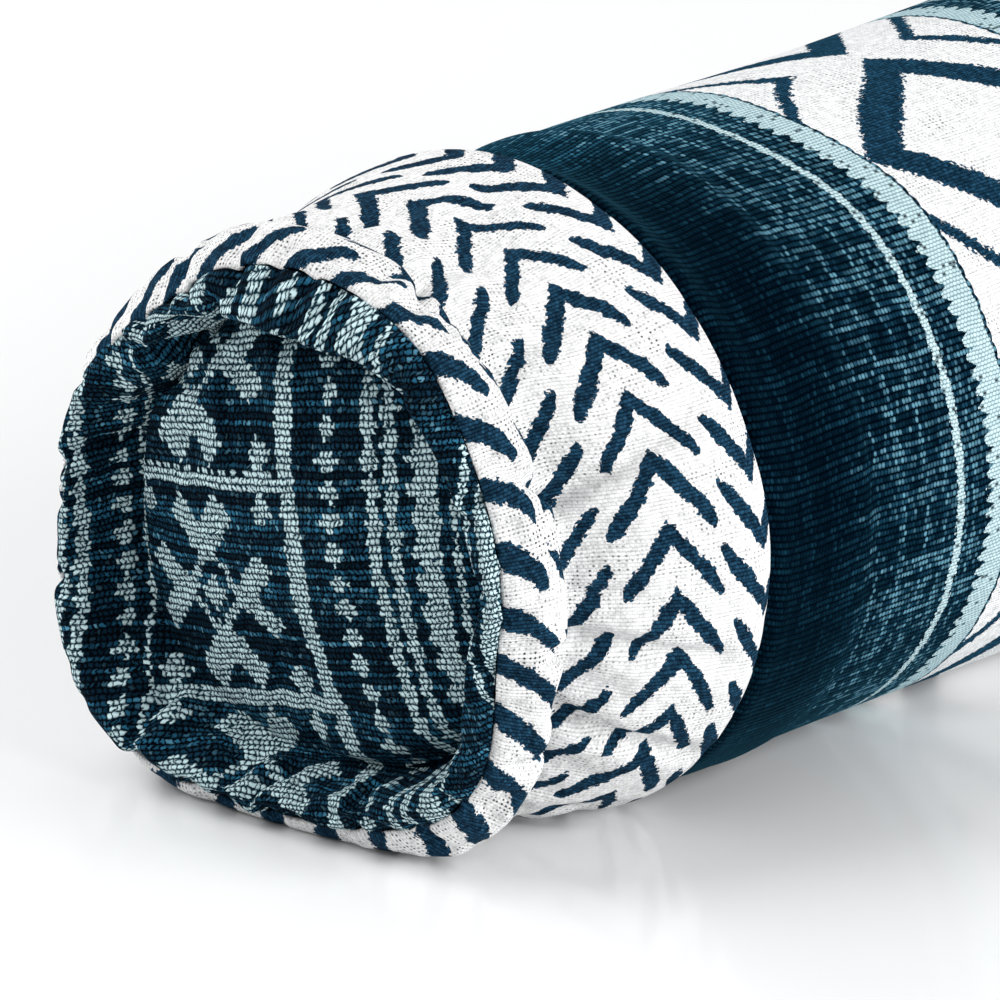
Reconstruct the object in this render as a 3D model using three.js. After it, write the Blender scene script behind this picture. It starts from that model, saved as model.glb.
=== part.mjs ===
import * as THREE from "three";

// A filled bolster cushion lying on its side. Millimetres, +Z up, +X along the bolster.
// The near end points to -X. The origin is on the surface below the middle of the bolster.
//
// Five pieces are sewn together. The filled body has the middle panel as its skin. A band
// of cloth wraps it towards each end, and a round panel, dished and puckered, closes each end.

// Sizes
const ROUND_STEPS = 48; // facets round the bolster
const CLOTH = 1.5; // thickness of the bands and the end panels
const GAP = 0.3; // clearance between two pieces
const SETTLE = 2; // height over which the side turns into the flat underside
const FOLD_FADE = 4; // power with which the seam's folds die away inside the end panel
const FULL_TURN = 360; // degrees
const HALF_TURN = 180; // degrees

// Rows across an end panel, from its centre to its seam. share is the part of the seam's
// radius, and proud is how far the row stands out beyond the seam. steps is the number of
// facets to the next row.
const END_PANEL = [
  { name: "centre", share: 0, proud: -2, steps: 2 },
  { name: "dome", share: 0.45, proud: -4, steps: 2 },
  { name: "disc edge", share: 0.72, proud: -9, steps: 1 },
  { name: "crease", share: 0.82, proud: -15, steps: 1 },
  { name: "roll inside", share: 0.87, proud: -5, steps: 2 },
  { name: "roll", share: 0.925, proud: 3.8, steps: 2 },
  { name: "panel edge", share: 0.995, proud: 0.4, steps: 1 },
];

// Rows along half of the tube, from the end panel's seam towards the middle. x is the place
// along the bolster. left, right, top and low are the sides of the section, seen from
// outside the near end, and level is the height of its widest part. A low side below the
// surface is pressed flat on it.
const TUBE = [
  { name: "end seam", x: -244.4, left: 103, right: -86, top: 180, low: 5, level: 88, steps: 3 },
  { name: "rim", x: -230, left: 107, right: -92, top: 186, low: -5, level: 90, steps: 3 },
  { name: "waist", x: -213, left: 99, right: -83, top: 184, low: 0, level: 90, steps: 3 },
  { name: "shoulder", x: -196, left: 99, right: -94, top: 184, low: -4, level: 91, steps: 3 },
  { name: "crown", x: -164, left: 105, right: -109, top: 195, low: -8, level: 92, steps: 2 },
  { name: "band edge", x: -153.4, left: 104, right: -106, top: 192, low: -6, level: 92, steps: 1 },
  { name: "middle edge", x: -153, left: 104, right: -106, top: 192, low: -6, level: 92, steps: 2 },
  { name: "past the seam", x: -142, left: 103, right: -105, top: 189, low: -7, level: 90, steps: 2 },
  { name: "swell", x: -108, left: 104, right: -104, top: 189, low: -8, level: 90, steps: 3 },
  { name: "stripe", x: -69, left: 103, right: -104, top: 187, low: -7, level: 89, steps: 3 },
];
const MIDDLE = { name: "middle", x: 0, left: 102, right: -102, top: 186, low: -8, level: 90 };

// Folds, puckers and hollows. Each moves one row near an angle, which is 0 at the right,
// 90 on top, 180 at the left and 270 below. spread is half the fold's width in degrees, out
// moves the row away from the axis, and along moves it towards the middle of the bolster.
const FOLDS = [
  { row: "end seam", angle: 58, spread: 22, out: 6, along: 0 },
  { row: "end seam", angle: 128, spread: 20, out: -4, along: 0 },
  { row: "end seam", angle: 220, spread: 28, out: 12, along: 0 },
  { row: "end seam", angle: 235, spread: 32, out: 0, along: -9 },
  { row: "end seam", angle: 318, spread: 24, out: 7, along: 0 },
  { row: "end seam", angle: 352, spread: 16, out: -4, along: 0 },
  { row: "rim", angle: 220, spread: 28, out: 12, along: 0 },
  { row: "rim", angle: 235, spread: 32, out: 0, along: -8 },
  { row: "rim", angle: 312, spread: 26, out: 6, along: 0 },
  { row: "waist", angle: 220, spread: 28, out: 9, along: 0 },
  { row: "waist", angle: 20, spread: 30, out: -4, along: 0 },
  { row: "waist", angle: 335, spread: 20, out: -4, along: 3 },
  { row: "waist", angle: 95, spread: 18, out: -3, along: -4 },
  { row: "roll", angle: 235, spread: 32, out: 0, along: -4 },
  { row: "roll", angle: 352, spread: 18, out: -2, along: 0 },
  { row: "roll", angle: 150, spread: 16, out: -6, along: 7 },
  { row: "roll", angle: 88, spread: 26, out: -5, along: -2 },
  { row: "roll inside", angle: 150, spread: 18, out: -7, along: 8 },
  { row: "crease", angle: 150, spread: 18, out: -9, along: 3 },
  { row: "crease", angle: 305, spread: 14, out: 2, along: 5 },
];

// A point moved by the folds of its row. A fold is full on its line and fades on both sides.
function folded(point, row, angle) {
  for (const fold of FOLDS.filter((entry) => entry.row === row.name)) {
    const turned = (angle - fold.angle + FULL_TURN + HALF_TURN) % FULL_TURN;
    const apart = Math.abs(turned - HALF_TURN);
    const share = Math.exp(-((apart / fold.spread) ** 2));
    const turn = THREE.MathUtils.degToRad(angle);
    point.x += fold.along * share;
    point.y -= fold.out * share * Math.cos(turn);
    point.z += fold.out * share * Math.sin(turn);
  }
  return point;
}

// A point of the tube's section: an oval whose upper and lower halves differ in height.
function ovalPoint(row, angle) {
  const turn = THREE.MathUtils.degToRad(angle);
  const halfWidth = (row.left - row.right) / 2;
  const halfHeight = Math.sin(turn) < 0 ? row.level - row.low : row.top - row.level;
  return new THREE.Vector3(
    row.x,
    (row.left + row.right) / 2 - halfWidth * Math.cos(turn),
    row.level + halfHeight * Math.sin(turn),
  );
}

function tubePoint(row, angle) {
  return folded(ovalPoint(row, angle), row, angle);
}

// A point of the end panel: the seam's outline drawn in towards the middle of the end. The
// seam's own folds die away soon inside it.
function panelPoint(row, angle) {
  const seam = TUBE[0];
  const outline = ovalPoint(seam, angle).lerp(tubePoint(seam, angle), row.share ** FOLD_FADE);
  const point = new THREE.Vector3(seam.x, (seam.left + seam.right) / 2, seam.level);
  point.lerp(outline, row.share);
  point.x -= row.proud;
  return row.share > 0 ? folded(point, row, angle) : point;
}

// The lengthwise curve at one angle. It runs through every row from the near end's centre
// to the far end's centre. The far half is the near half turned half round about Z.
function lengthwiseCurve(angle) {
  const halfRows = (at) => [
    ...END_PANEL.map((row) => panelPoint(row, at)),
    ...TUBE.map((row) => tubePoint(row, at)),
  ];
  const near = halfRows(angle);
  const mirrored = (FULL_TURN + HALF_TURN - angle) % FULL_TURN;
  const far = halfRows(mirrored).map(({ x, y, z }) => new THREE.Vector3(-x, -y, z));
  return new THREE.CatmullRomCurve3([...near, tubePoint(MIDDLE, angle), ...far.reverse()]);
}

// Heights below the surface turn into the flat underside.
function settled(z) {
  if (Math.abs(z) >= SETTLE) return Math.max(z, 0);
  return (z + SETTLE) ** 2 / (4 * SETTLE);
}

// The outer surface as rings of points, one ring for each step along the curves.
function outerRings() {
  const nearSteps = [...END_PANEL, ...TUBE].map((row) => row.steps);
  const spans = [...nearSteps, ...nearSteps.toReversed()];
  const places = spans.flatMap((steps, span) =>
    Array.from({ length: steps }, (_, k) => (span + k / steps) / spans.length),
  );
  const angles = Array.from({ length: ROUND_STEPS }, (_, j) => (FULL_TURN * j) / ROUND_STEPS);
  const curves = angles.map(lengthwiseCurve);
  return [...places, 1].map((place) =>
    curves.map((curve) => {
      const point = curve.getPoint(place);
      return point.setZ(settled(point.z));
    }),
  );
}

// Outward directions at the points of the rings.
function outwardDirections(rings) {
  const last = rings.length - 1;
  const directions = rings.map((ring, i) =>
    ring.map((_, j) => {
      const along = rings[Math.min(i + 1, last)][j].clone().sub(rings[Math.max(i - 1, 0)][j]);
      const next = (j + 1) % ROUND_STEPS;
      const before = (j + ROUND_STEPS - 1) % ROUND_STEPS;
      return along.cross(ring[next].clone().sub(ring[before])).normalize();
    }),
  );
  directions[0].forEach((direction) => direction.set(-1, 0, 0));
  directions[last].forEach((direction) => direction.set(1, 0, 0));
  // the two cut edges at a seam face each other squarely
  for (const edge of [PANEL_EDGE, BAND_EDGE, last - BAND_EDGE - 1, last - PANEL_EDGE - 1]) {
    directions[edge].forEach((direction, j) => {
      direction.add(directions[edge + 1][j]).normalize();
      directions[edge + 1][j].copy(direction);
    });
  }
  return directions;
}

// The index of a named row's ring, counted from the near end.
function ringOf(name) {
  const rows = [...END_PANEL, ...TUBE];
  const place = rows.findIndex((row) => row.name === name);
  return rows.slice(0, place).reduce((sum, row) => sum + row.steps, 0);
}

const PANEL_EDGE = ringOf("panel edge");
const END_SEAM = ringOf("end seam");
const BAND_EDGE = ringOf("band edge");
const MIDDLE_EDGE = ringOf("middle edge");
const RINGS = outerRings();
const LAST_RING = RINGS.length - 1;
const DIRECTIONS = outwardDirections(RINGS);

// A ring of the surface, drawn in by a depth.
function ringAt(index, depth) {
  const drawnIn = (point, j) => point.clone().addScaledVector(DIRECTIONS[index][j], -depth);
  return { index, points: RINGS[index].map(drawnIn) };
}

// A closed surface through rings. The last ring is joined to the first, or else the first
// and the last ring are single points on the axis.
function closedSurface(rings, joined) {
  const positions = [];
  const corners = rings.map(({ points }, i) => {
    const first = positions.length / 3;
    const tip = !joined && (i === 0 || i === rings.length - 1);
    (tip ? points.slice(0, 1) : points).forEach(({ x, y, z }) => positions.push(x, y, z));
    return points.map((_, j) => first + (tip ? 0 : j));
  });
  const faces = [];
  for (let i = joined ? 0 : 1; i < rings.length; i += 1) {
    const before = (i + rings.length - 1) % rings.length;
    // every quad is split along the same diagonal, whichever way the rings run
    const back = rings[i].index < rings[before].index;
    for (let j = 0; j < ROUND_STEPS; j += 1) {
      const next = (j + 1) % ROUND_STEPS;
      const [a, b] = [corners[before][j], corners[before][next]];
      const [c, d] = [corners[i][j], corners[i][next]];
      if (a !== b) faces.push(a, back ? d : c, b);
      if (c !== d) faces.push(back ? a : b, c, d);
    }
  }
  const geometry = new THREE.BufferGeometry();
  geometry.setAttribute("position", new THREE.Float32BufferAttribute(positions, 3));
  geometry.setIndex(faces);
  geometry.computeVertexNormals();
  return geometry;
}

// The indices from one ring to another, both included.
function range(from, to) {
  return Array.from({ length: to - from + 1 }, (_, k) => from + k);
}

// The filled body: its skin shows in the middle and lies under the bands and end panels.
function filledBody() {
  const depth = CLOTH + GAP;
  return closedSurface([
    ...range(0, MIDDLE_EDGE).map((i) => ringAt(i, depth)),
    ...range(MIDDLE_EDGE, LAST_RING - MIDDLE_EDGE).map((i) => ringAt(i, 0)),
    ...range(LAST_RING - MIDDLE_EDGE, LAST_RING).map((i) => ringAt(i, depth)),
  ]);
}

// A band of cloth round the tube, between two rings.
function band(from, to) {
  const outside = range(from, to).map((i) => ringAt(i, 0));
  const inside = range(from, to).map((i) => ringAt(i, CLOTH));
  return closedSurface([...outside, ...inside.toReversed()], true);
}

// The round panel over an end: the rings run out to its edge and back inside the cloth.
function nearEndPanel() {
  const outside = range(0, PANEL_EDGE).map((i) => ringAt(i, 0));
  const inside = range(0, PANEL_EDGE).map((i) => ringAt(i, CLOTH));
  return closedSurface([...outside, ...inside.toReversed()]);
}

function farEndPanel() {
  const from = LAST_RING - PANEL_EDGE;
  const outside = range(from, LAST_RING).map((i) => ringAt(i, 0));
  const inside = range(from, LAST_RING).map((i) => ringAt(i, CLOTH));
  return closedSurface([...inside.toReversed(), ...outside]);
}

function cloth(color) {
  return new THREE.MeshStandardMaterial({ color, roughness: 0.9, metalness: 0 });
}

const MIDDLE_CLOTH = cloth("#16344a");
const BAND_CLOTH = cloth("#e6e4e0");
const END_CLOTH = cloth("#1d3d50");

const bolster = new THREE.Group();

function addPiece(name, geometry, material) {
  const mesh = new THREE.Mesh(geometry, material);
  mesh.name = name;
  bolster.add(mesh);
}

addPiece("filled_body", filledBody(), MIDDLE_CLOTH);
addPiece("near_band", band(END_SEAM, BAND_EDGE), BAND_CLOTH);
addPiece("far_band", band(LAST_RING - BAND_EDGE, LAST_RING - END_SEAM), BAND_CLOTH);
addPiece("near_end_panel", nearEndPanel(), END_CLOTH);
addPiece("far_end_panel", farEndPanel(), END_CLOTH);

export default bolster;
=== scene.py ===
import math
from functools import partialmethod
import bpy
import numpy as np
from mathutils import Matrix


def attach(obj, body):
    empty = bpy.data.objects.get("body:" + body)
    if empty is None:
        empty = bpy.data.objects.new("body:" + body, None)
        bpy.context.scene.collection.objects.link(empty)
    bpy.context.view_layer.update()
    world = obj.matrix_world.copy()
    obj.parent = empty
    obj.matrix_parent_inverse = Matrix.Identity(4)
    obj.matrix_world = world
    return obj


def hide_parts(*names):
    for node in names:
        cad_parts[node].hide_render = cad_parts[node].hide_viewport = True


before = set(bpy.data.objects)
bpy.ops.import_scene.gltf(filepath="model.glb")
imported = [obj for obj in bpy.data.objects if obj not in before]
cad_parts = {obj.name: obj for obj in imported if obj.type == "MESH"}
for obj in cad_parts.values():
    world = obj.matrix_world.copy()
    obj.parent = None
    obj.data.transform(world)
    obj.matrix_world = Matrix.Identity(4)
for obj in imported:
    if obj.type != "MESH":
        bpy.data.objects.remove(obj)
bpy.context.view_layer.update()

# Sizes, in millimetres and degrees. CLOTH is the cloth's thickness and ROUND its length
# round the tube. The underside turns flat within SETTLE of the floor, and the end seam's
# folds fade into the panel by the power FOLD_FADE. Lengths are measured at LENGTH_STEPS
# places, every LENGTH_TURN degrees.
MM = 0.001
CLOTH = 1.5
ROUND = 615.0
SETTLE = 2.0
FOLD_FADE = 4
FULL_TURN = 360.0
HALF_TURN = 180.0
LENGTH_STEPS = 800
LENGTH_TURN = 15

# Limits that keep a division from being by nothing
SMALLEST_PACE = 1e-4
SMALLEST_MOVE = 1e-6
SMALLEST_NORMAL = 1e-9

# Rows across an end panel, from its centre to its seam: a name, the share of the way to the
# seam, and how far the row stands proud of the seam
END_PANEL = [
    dict(name=name, share=share, proud=proud)
    for name, share, proud in (
        ("centre", 0, -2),
        ("dome", 0.45, -4),
        ("disc edge", 0.72, -9),
        ("crease", 0.82, -15),
        ("roll inside", 0.87, -5),
        ("roll", 0.925, 3.8),
        ("panel edge", 0.995, 0.4),
    )
]

# Rows along half of the tube, from the end seam to the middle: the left and right sides,
# the highest and lowest points, and the level where it is widest
TUBE_KEYS = ("name", "x", "left", "right", "top", "low", "level")
TUBE = [
    dict(zip(TUBE_KEYS, row))
    for row in (
        ("end seam", -244.4, 103, -86, 180, 5, 88),
        ("rim", -230, 107, -92, 186, -5, 90),
        ("waist", -213, 99, -83, 184, 0, 90),
        ("shoulder", -196, 99, -94, 184, -4, 91),
        ("crown", -164, 105, -109, 195, -8, 92),
        ("band edge", -153.4, 104, -106, 192, -6, 92),
        ("middle edge", -153, 104, -106, 192, -6, 92),
        ("past the seam", -142, 103, -105, 189, -7, 90),
        ("swell", -108, 104, -104, 189, -8, 90),
        ("stripe", -69, 103, -104, 187, -7, 89),
        ("middle", 0, 102, -102, 186, -8, 90),
    )
]

# Folds that the solids have too: the angle, the spread, and how far a fold moves its row
# away from the axis and towards the middle of the bolster.
FOLDS = {
    "end seam": [
        (58, 22, 6, 0), (128, 24, -8, 0), (220, 28, 12, 0),
        (235, 32, 0, -9), (318, 24, 7, 0), (352, 16, -4, 0),
    ],
    "rim": [(130, 26, -5, 0), (220, 28, 12, 0), (235, 32, 0, -8), (312, 26, 6, 0)],
    "waist": [(220, 28, 9, 0), (20, 30, -4, 0), (335, 20, -4, 3), (95, 18, -3, -4)],
    "shoulder": [(92, 40, -3, 0)],
    "crown": [(100, 45, -6, 0)],
    "band edge": [(95, 45, -1, 0)],
    "middle edge": [(95, 45, -1, 0)],
    "past the seam": [(105, 45, -5.5, 0)],
    "swell": [(110, 40, -2.5, 0)],
    "roll": [
        (235, 32, 0, -4), (352, 18, -2, 0), (150, 16, -6, 7),
        (88, 26, -5, -2), (78, 32, -6, -3),
    ],
    "roll inside": [(150, 18, -7, 8), (78, 32, -8, -2)],
    "crease": [(150, 18, -9, 3), (305, 14, 2, 5), (78, 28, -6, 0)],
}


def apart(angle, centre):
    """The turn between two angles, from -180 to 180 degrees."""
    return (angle - centre + HALF_TURN) % FULL_TURN - HALF_TURN


def folded(points, row, angle):
    """Each fold moves its row by out and along, times a bell of the angle from the fold."""
    turn = np.radians(angle)
    for centre, spread, out, along in FOLDS.get(row["name"], []):
        share = np.exp(-((apart(angle, centre) / spread) ** 2))
        points[:, 0] += along * share
        points[:, 1] -= out * share * np.cos(turn)
        points[:, 2] += out * share * np.sin(turn)
    return points


def oval(row, angle):
    """An oval: across by the cosine, up by the sine, with its own height below the level."""
    turn = np.radians(angle)
    half_width = (row["left"] - row["right"]) / 2
    half_height = np.where(np.sin(turn) < 0, row["level"] - row["low"], row["top"] - row["level"])
    y = (row["left"] + row["right"]) / 2 - half_width * np.cos(turn)
    z = row["level"] + half_height * np.sin(turn)
    return np.stack([np.full_like(y, row["x"]), y, z], axis=1)


def tube_row(row, angle):
    """A row of the tube at each angle: its oval, moved by its folds."""
    return folded(oval(row, angle), row, angle)


def panel_row(row, angle):
    """The seam's outline drawn in towards the middle of the end, by the row's share."""
    seam = TUBE[0]
    fade = row["share"] ** FOLD_FADE
    outline = oval(seam, angle) * (1 - fade) + tube_row(seam, angle) * fade
    middle = np.array([seam["x"], (seam["left"] + seam["right"]) / 2, seam["level"]])
    points = middle + (outline - middle) * row["share"]
    points[:, 0] -= row["proud"]
    return folded(points, row, angle) if row["share"] > 0 else points


def half_turned(points):
    """Points turned half round about Z, which makes the far half from the near half."""
    return points * np.array([-1.0, -1.0, 1.0])


def frame_rows(angle):
    """The rows from the near end's centre to the far end's centre, as (rows, angles, 3)."""

    def half(at):
        """The near half's rows, all but the middle one."""
        panel = [panel_row(row, at) for row in END_PANEL]
        return panel + [tube_row(row, at) for row in TUBE[:-1]]

    far = [half_turned(row) for row in half((FULL_TURN + HALF_TURN - angle) % FULL_TURN)]
    return np.array(half(angle) + [tube_row(TUBE[-1], angle)] + far[::-1])


def through(rows, places):
    """A centripetal Catmull-Rom curve through the rows, taken at places counted in rows.

    Between two rows it is a cubic that leaves and arrives at slopes from the neighbouring
    rows, weighed by the roots of the distances between them.
    """
    ends = [2 * rows[:1] - rows[1:2], rows, 2 * rows[-1:] - rows[-2:-1]]
    padded = np.concatenate(ends)
    span = np.clip(np.floor(places).astype(int), 0, len(rows) - 2)
    t = (places - span)[:, None, None]
    a, b, c, d = (padded[span + k] for k in range(4))

    def pace(p, q):
        """The root of the distance from p to q."""
        return np.maximum(np.sqrt(np.linalg.norm(q - p, axis=2, keepdims=True)), SMALLEST_PACE)

    before, here, after = pace(a, b), pace(b, c), pace(c, d)
    leave = ((b - a) / before - (c - a) / (before + here)) * here + (c - b)
    reach = (c - b) - (d - b) / (here + after) * here + (d - c) / after * here
    bend = 2 * b - 2 * c + leave + reach
    turn = -3 * b + 3 * c - 2 * leave - reach
    return b + leave * t + turn * t ** 2 + bend * t ** 3


def settled(z):
    """Heights near and below the surface turn softly into the flat underside."""
    soft = (z + SETTLE) ** 2 / (4 * SETTLE)
    return np.where(np.abs(z) >= SETTLE, np.maximum(z, 0), soft)


ROW_NAMES = [row["name"] for row in END_PANEL + TUBE]


def place_of(name):
    """Where a row is, counted in rows from the near end's centre."""
    return float(ROW_NAMES.index(name))


MIDDLE = place_of("middle")


def measured(start, end):
    """Places from start to end, and how far along the cloth each is, as a mean round it."""
    places = np.linspace(start, end, LENGTH_STEPS)
    line = through(frame_rows(np.arange(0, FULL_TURN, LENGTH_TURN)), places)
    steps = np.linalg.norm(np.diff(line, axis=0), axis=2).mean(axis=1)
    return places, np.concatenate([[0], np.cumsum(steps)])


def even_places(start, end, count):
    """Places from start to end that lie evenly along the cloth, and their lengths."""
    places, lengths = measured(start, end)
    even = np.linspace(0, lengths[-1], count)
    return np.interp(even, lengths, places), even


HALF_PLACES, HALF_LENGTHS = measured(0, MIDDLE)
PANEL_REACH = np.interp(place_of("panel edge"), HALF_PLACES, HALF_LENGTHS)
BAND_START = np.interp(place_of("band edge"), HALF_PLACES, HALF_LENGTHS)


def outward(points):
    """Unit directions away from the cloth: the lengthwise slope crossed with the round one."""
    along = np.gradient(points, axis=0)
    across = np.roll(points, -1, axis=1) - np.roll(points, 1, axis=1)
    normal = np.cross(along, across)
    return normal / np.maximum(np.linalg.norm(normal, axis=2, keepdims=True), SMALLEST_NORMAL)


def grid_faces(rings, around):
    """Quads between neighbouring rings, closed round the tube, facing outwards."""
    i, j = np.meshgrid(np.arange(rings - 1), np.arange(around), indexing="ij")
    k = (j + 1) % around
    quads = [i * around + j, (i + 1) * around + j, (i + 1) * around + k, i * around + k]
    return np.stack(quads, axis=-1).reshape(-1, 4)


# Creases, deepest at their start. Each runs straight on the flat cloth between two points,
# which are lengths from the end's centre and angles round it. Then come width and depth.
CREASES = [
    ((143, 18), (196, 31), 4, 6.5),
    ((143, 334), (114, 330), 4, 5.5),
    ((143, 20), (120, 30), 3.5, 4),
    ((143, 352), (200, 344), 4.5, 6.5),
    ((143, 352), (116, 356), 3.5, 5),
    ((145, 334), (206, 320), 4.5, 6.5),
    ((142, 45), (176, 52), 4, 3),
    ((141, 68), (182, 74), 4.5, 4),
    ((141, 68), (118, 60), 3.5, 2.5),
    ((141, 96), (190, 92), 5, 3.5),
    ((141, 128), (186, 134), 5, 4),
    ((141, 165), (190, 158), 5, 4),
    ((143, 205), (186, 212), 5, 4),
    ((143, 250), (180, 244), 5, 2.5),
    ((143, 300), (186, 306), 5, 3),
    ((86, 12), (108, 6), 3, 2.5),
    ((86, 330), (110, 322), 3.5, 3),
    ((84, 48), (108, 56), 3.5, 3),
    ((84, 74), (110, 84), 4, 4),
    ((82, 112), (110, 104), 4, 4.5),
    ((80, 132), (106, 142), 4.5, 5),
    ((82, 168), (108, 176), 3.5, 3),
    ((84, 205), (110, 200), 3.5, 2.5),
    ((86, 232), (110, 238), 3.5, 3),
    ((86, 268), (108, 262), 4, 3.5),
    ((86, 292), (110, 298), 3.5, 3),
    ((60, 140), (92, 158), 6, 4),
]

# The bell beside a crease, as a share of its depth and of its width
BESIDE_DEPTH = 0.35
BESIDE_WIDTH = 2.2

# Tucks of the gathered cloth across the end seam, the same on each run. The pairs are the
# least and the most of a tuck's place, lean, length and depth.
TUCKS = 27
TUCK_SEED = 5
TUCK_LONG = 11.0
TUCK_WIDE = 2.6
TUCK_PLACE = (-0.3, 0.3)
TUCK_LEAN = (-3, 3)
TUCK_SHARE = (0.6, 1.3)
TUCK_DEEP = (0.4, 1.7)

# Grooves right round the cover, at the two seams and in the waist: length, width and depth
GROOVES = [(PANEL_REACH, 2.2, 1.3), (BAND_START, 2.2, 1.3), (143.0, 5.0, 4.2)]


def tucks():
    """Short creases from the end seam, one each way at every tuck, which lean together."""
    luck = np.random.default_rng(TUCK_SEED)
    creases = []
    for number in range(TUCKS):
        turn = (number + luck.uniform(*TUCK_PLACE)) * FULL_TURN / TUCKS
        lean = luck.uniform(*TUCK_LEAN)
        for way in (-1, 1):
            reach = way * TUCK_LONG * luck.uniform(*TUCK_SHARE)
            depth = luck.uniform(*TUCK_DEEP)
            end = (PANEL_REACH + reach, turn + way * lean)
            creases.append(((PANEL_REACH, turn), end, TUCK_WIDE, depth))
    return creases


ALL_CREASES = CREASES + tucks()


def crease_depth(lengths, angle):
    """How deep the creases are at each length and angle.

    Across a crease the depth falls off like a bell, less a wider and lower bell, because
    the cloth beside a crease stands proud. The grooves are the same all round.
    """
    length = lengths[:, None]
    round_scale = ROUND / FULL_TURN * np.minimum(length / PANEL_REACH, 1)
    depth = np.zeros((len(lengths), len(angle)))
    for (start, start_angle), (end, end_angle), width, deepest in ALL_CREASES:
        along = end - start
        across = apart(end_angle, start_angle) * round_scale
        from_start = length - start
        beside_start = apart(angle, start_angle)[None, :] * round_scale
        square = along ** 2 + across ** 2
        t = np.clip((from_start * along + beside_start * across) / square, 0, 1)
        off = np.hypot(from_start - t * along, beside_start - t * across) / width
        bell = np.exp(-(off ** 2)) - BESIDE_DEPTH * np.exp(-((off / BESIDE_WIDTH) ** 2))
        depth += deepest * (1 - t ** 2) * bell
    for middle, width, deepest in GROOVES:
        depth += deepest * np.exp(-(((length - middle) / width) ** 2))
    return depth


# The swelling. Half of the cover is a cloth of its own while it swells. It is held within
# HELD_REACH of HELD_ROWS, from SMOOTH_FROM to the middle, and where it is lower than
# UNDERSIDE. A point moves by SWELL_CAP at most, and by MIDDLE_CAP in the middle panel. It
# grows by 5%, which is a shrink below 0.
SWELL_START = 0.5
SWELL_RINGS = 66
SWELL_AROUND = 110
SWELL_FRAMES = 20
SWELL_CAP = 5.0
MIDDLE_CAP = 2.0
HELD_ROWS = ("centre", "crease", "panel edge", "end seam", "waist", "band edge")
HELD_REACH = 2.6
SMOOTH_FROM = "swell"
UNDERSIDE = 3.0
CLOTH_SETTINGS = dict(
    vertex_group_mass="held",
    use_pressure=True,
    uniform_pressure_force=4.0,
    shrink_min=-0.05,
    tension_stiffness=20.0,
    compression_stiffness=20.0,
    bending_stiffness=0.3,
    quality=6,
)

# Between CALM_FROM and CALM_FULL before the band's seam the movement is more and more
# evened out round the tube, by a bell that is CALM_SPREAD points wide.
CALM_FROM = 24.0
CALM_FULL = 4.0
CALM_SPREAD = 4
CALM_REACH = 3 * CALM_SPREAD


def placed(name, data):
    """A new object in the scene that shows the data."""
    thing = bpy.data.objects.new(name, data)
    bpy.context.scene.collection.objects.link(thing)
    return thing


def swollen(points, held):
    """The points of a grid of cloth after it has swelled a little and grown between its seams."""
    rings, around = points.shape[:2]
    mesh = bpy.data.meshes.new("swelling")
    mesh.from_pydata((points.reshape(-1, 3) * MM).tolist(), [], grid_faces(rings, around).tolist())
    cloth = placed("swelling", mesh)
    group = cloth.vertex_groups.new(name="held")
    group.add(np.flatnonzero(held.reshape(-1)).tolist(), 1.0, "REPLACE")
    settings = cloth.modifiers.new("cloth", "CLOTH").settings
    settings.effector_weights.gravity = 0.0
    for name, value in CLOTH_SETTINGS.items():
        setattr(settings, name, value)
    for number in range(1, SWELL_FRAMES + 1):
        bpy.context.scene.frame_set(number)
    evaluated = cloth.evaluated_get(bpy.context.evaluated_depsgraph_get())
    moved = np.empty(rings * around * 3, dtype=np.float32)
    evaluated.data.vertices.foreach_get("co", moved)
    bpy.data.objects.remove(cloth)
    bpy.data.meshes.remove(mesh)
    bpy.context.scene.frame_set(1)
    return moved.reshape(points.shape) / MM


def calmed(move, lengths):
    """The movement, blended into its mean round the tube from CALM_FROM to the band's seam."""
    steps = np.arange(-CALM_REACH, CALM_REACH + 1)
    shares = np.exp(-((steps / CALM_SPREAD) ** 2))
    shares = shares / shares.sum()
    even = sum(np.roll(move, step, axis=1) * share for step, share in zip(steps, shares))
    before = BAND_START - lengths
    calm = np.clip((CALM_FROM - before) / (CALM_FROM - CALM_FULL), 0, 1)[:, None, None]
    return move * (1 - calm) + even * calm


def capped(move, places):
    """The movement, softly kept under its cap: the cap times tanh of its share of the cap."""
    seam = [place_of("band edge"), place_of("past the seam")]
    cap = np.interp(places, seam, [SWELL_CAP, MIDDLE_CAP])[:, None, None]
    far = np.linalg.norm(move, axis=2, keepdims=True)
    return move * cap * np.tanh(far / cap) / np.maximum(far, SMALLEST_MOVE)


def swelling():
    """The swelling's places, and how far each point of the near half moves as it swells."""
    places, _ = even_places(SWELL_START, MIDDLE, SWELL_RINGS)
    lengths = np.interp(places, HALF_PLACES, HALF_LENGTHS)
    angle = np.arange(SWELL_AROUND) * FULL_TURN / SWELL_AROUND
    points = through(frame_rows(angle), places)
    points[:, :, 2] = settled(points[:, :, 2])
    points -= outward(points) * crease_depth(lengths, angle)[:, :, None]
    close = (places > place_of(SMOOTH_FROM)) | (places == SWELL_START)
    for name in HELD_ROWS:
        row_length = np.interp(place_of(name), HALF_PLACES, HALF_LENGTHS)
        close |= np.abs(lengths - row_length) < HELD_REACH
    held = close[:, None] | (points[:, :, 2] < UNDERSIDE)
    move = swollen(points, held) - points
    return places, capped(calmed(move, lengths), places)


def between(values, index):
    """Values at fractional indices of the first axis, on a uniform Catmull-Rom curve."""
    last = len(values) - 1
    base = np.clip(np.floor(index).astype(int), 0, last - 1)
    t = (index - base).reshape(-1, *[1] * (values.ndim - 1))
    a, b, c, d = (values[np.clip(base + k, 0, last)] for k in (-1, 0, 1, 2))
    return b + 0.5 * t * (c - a + t * (2 * a - 5 * b + 4 * c - d + t * (3 * (b - c) + d - a)))


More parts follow.
